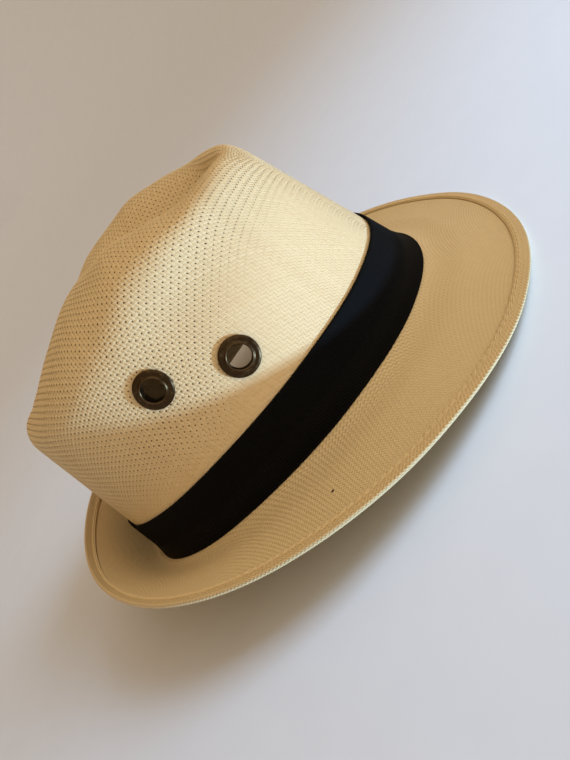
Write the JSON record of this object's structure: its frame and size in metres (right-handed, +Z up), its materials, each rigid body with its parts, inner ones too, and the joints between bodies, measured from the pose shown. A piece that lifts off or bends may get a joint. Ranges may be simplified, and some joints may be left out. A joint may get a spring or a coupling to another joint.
{
  "type": "straw fedora",
  "caption": "Woven straw fedora with a creased crown, front pinches, a brim turned down in front and up behind, a black ribbon band and metal vent eyelets.",
  "frame": {"origin": "centre of the hat's box on the surface that it lies on", "axes": "+Z up, the front of the hat is -Y, the wearer's left is +X"},
  "size_m": [0.2714, 0.2656, 0.1302],
  "materials": {
    "crown_straw": "open basket weave of ivory straw, matt",
    "brim_straw": "close fine weave of tan straw, matt",
    "ribbon": "fine ribbed black ribbon with a faint sheen",
    "eyelet_metal": "antiqued bronze, dark in the hollows"
  },
  "bodies": {
    "root": {"crown": "crown_straw", "brim": "brim_straw", "band": "ribbon", "eyelet_right_front": "eyelet_metal", "eyelet_right_rear": "eyelet_metal", "eyelet_left_front": "eyelet_metal", "eyelet_left_rear": "eyelet_metal"}
  },
  "joints": []
}
